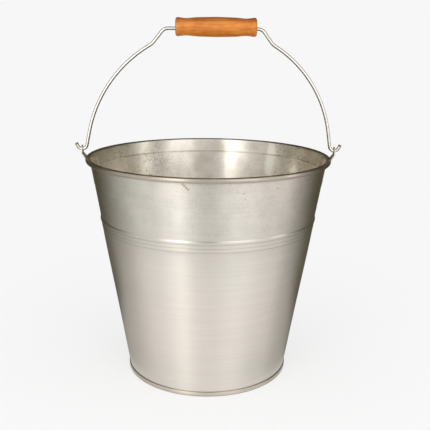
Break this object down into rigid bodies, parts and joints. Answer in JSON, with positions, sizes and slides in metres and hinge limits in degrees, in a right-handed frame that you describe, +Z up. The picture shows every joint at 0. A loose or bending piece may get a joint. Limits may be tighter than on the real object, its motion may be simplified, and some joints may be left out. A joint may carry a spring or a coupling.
{
  "type": "bucket",
  "caption": "Tapered sheet-metal bucket with curled rim, pressed beads, folded foot, riveted ears, wire bail and turned wooden grip",
  "frame": {"origin": "middle of the base, on the surface that the bucket stands on", "axes": "X runs through the two ears, with +X to the right in the picture; +Y points away from the viewer; +Z is up. The bail stands upright in the plane Y = 0 at rest."},
  "size_m": [0.328, 0.2994, 0.4381],
  "materials": {
    "bright_sheet": "bright zinc or tin coat, finely brushed round the body, dulled and spotted inside",
    "ear_plate": "bent plate with the same bright coat",
    "rivet": "low plated heads",
    "steel_wire": "bright drawn wire, darker at its cut ends",
    "lacquered_wood": "turned wood with a warm clear lacquer, grain along the grip"
  },
  "bodies": {
    "bucket": {"body_front_sheet": "bright_sheet", "body_back_sheet": "bright_sheet", "bottom_pan": "bright_sheet", "rim_wire": "steel_wire", "ear_right": "ear_plate", "ear_left": "ear_plate", "ear_rivet_right_lower": "rivet", "ear_rivet_right_upper": "rivet", "ear_rivet_left_lower": "rivet", "ear_rivet_left_upper": "rivet"},
    "bail": {"bail_wire": "steel_wire"},
    "grip": {"wooden_grip": "lacquered_wood"}
  },
  "joints": [
    {"name": "bail_swing", "type": "hinge", "parent": "bucket", "child": "bail", "pos_m": [0, 0, 0.2804], "axis": [1, 0, 0], "range_deg": [-87.8, 87.8]},
    {"name": "grip_spin", "type": "hinge", "parent": "bail", "child": "grip", "pos_m": [0.008, 0, 0.4265], "axis": [1, 0, 0], "continuous": true}
  ]
}
